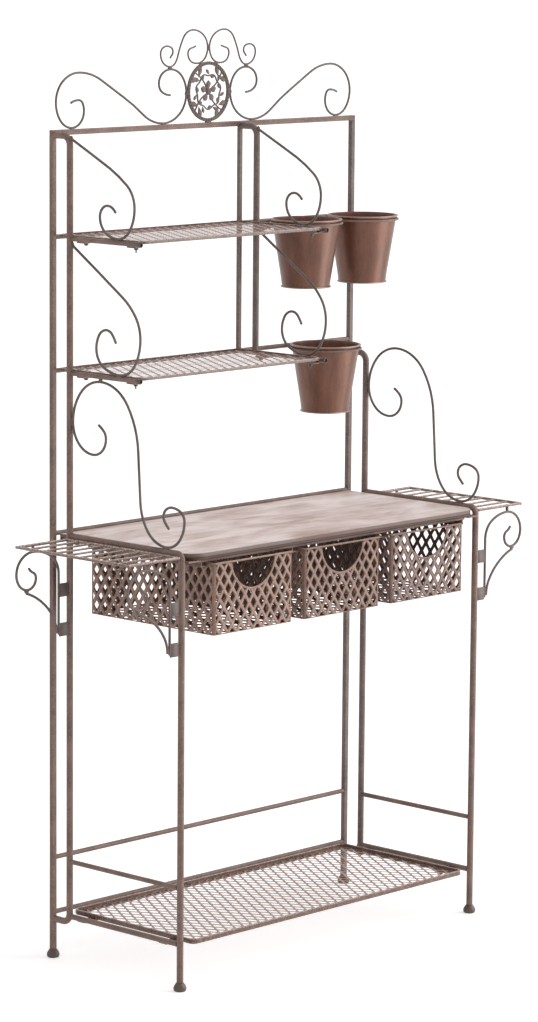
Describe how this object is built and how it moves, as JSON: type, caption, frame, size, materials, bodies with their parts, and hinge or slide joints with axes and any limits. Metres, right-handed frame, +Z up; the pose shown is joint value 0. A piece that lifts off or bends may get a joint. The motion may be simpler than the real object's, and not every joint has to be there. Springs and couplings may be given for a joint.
{
  "type": "bakers rack",
  "caption": "Scrolled iron bakers rack with mesh shelves, a wooden table, sliding pierced baskets, lift-out pots in rings and slatted side wings.",
  "frame": {"origin": "centre of the bounding box's underside, on the floor", "axes": "+X along the rack to its right, -Y to its front, +Z up"},
  "size_m": [1.1598, 0.399, 1.8445],
  "materials": {
    "iron": "antique brown paint with reddish wear on raised edges",
    "shelf_mesh": "antique brown paint on expanded mesh",
    "basket_sheet": "antique brown paint on pierced sheet",
    "pot_metal": "rust brown mottled paint",
    "board_wood": "pale washed board with brown edges",
    "end_caps": "dark brown moulded caps"
  },
  "bodies": {
    "frame": {"arm_end_caps": "end_caps", "back_post_left": "iron", "back_post_right": "iron", "basket_runners": "iron", "bottom_shelf_mesh": "shelf_mesh", "bottom_shelf_rim": "iron", "bracket_upright": "iron", "crest_scroll_left": "iron", "crest_scroll_right": "iron", "crown_scroll_left": "iron", "crown_scroll_right": "iron", "foot_caps": "end_caps", "front_leg_left": "iron", "front_leg_right": "iron", "low_back_rails": "iron", "low_side_rails_left": "iron", "low_side_rails_right": "iron", "lower_arm_left": "iron", "lower_arm_right": "iron", "lower_scroll_left": "iron", "lower_scroll_right": "iron", "lower_shelf_mesh": "shelf_mesh", "lower_shelf_rail": "iron", "lower_shelf_rim": "iron", "medallion_ornament": "iron", "medallion_ring": "iron", "middle_post": "iron", "pot_ring_lower": "iron", "pot_ring_upper_inner": "iron", "pot_ring_upper_outer": "iron", "shelf_lugs": "iron", "side_scroll_left": "iron", "side_scroll_right": "iron", "table_back_rail": "iron", "table_bars": "iron", "table_board": "board_wood", "table_lugs": "iron", "top_rail": "iron", "upper_arm_left": "iron", "upper_arm_right": "iron", "upper_scroll_left": "iron", "upper_scroll_right": "iron", "upper_shelf_mesh": "shelf_mesh", "upper_shelf_rail": "iron", "upper_shelf_rim": "iron", "upright_left": "iron", "upright_right": "iron", "wing_brackets_left": "iron", "wing_brackets_right": "iron", "wing_tray_left": "iron", "wing_tray_right": "iron"},
    "basket_left": {"basket_left": "basket_sheet"},
    "basket_middle": {"basket_middle": "basket_sheet"},
    "basket_right": {"basket_right": "basket_sheet"},
    "pot_upper_inner": {"pot_upper_inner": "pot_metal"},
    "pot_upper_outer": {"pot_upper_outer": "pot_metal"},
    "pot_lower": {"pot_lower": "pot_metal"}
  },
  "joints": [
    {"name": "basket_left_slide", "type": "slide", "parent": "frame", "child": "basket_left", "axis": [0, -1, 0], "range_m": [0, 0.28]},
    {"name": "basket_middle_slide", "type": "slide", "parent": "frame", "child": "basket_middle", "axis": [0, -1, 0], "range_m": [0, 0.28]},
    {"name": "basket_right_slide", "type": "slide", "parent": "frame", "child": "basket_right", "axis": [0, -1, 0], "range_m": [0, 0.28]},
    {"name": "pot_upper_inner_lift", "type": "slide", "parent": "frame", "child": "pot_upper_inner", "axis": [0, 0, 1], "range_m": [0, 0.14]},
    {"name": "pot_upper_outer_lift", "type": "slide", "parent": "frame", "child": "pot_upper_outer", "axis": [0, 0, 1], "range_m": [0, 0.14]},
    {"name": "pot_lower_lift", "type": "slide", "parent": "frame", "child": "pot_lower", "axis": [0, 0, 1], "range_m": [0, 0.115]}
  ]
}
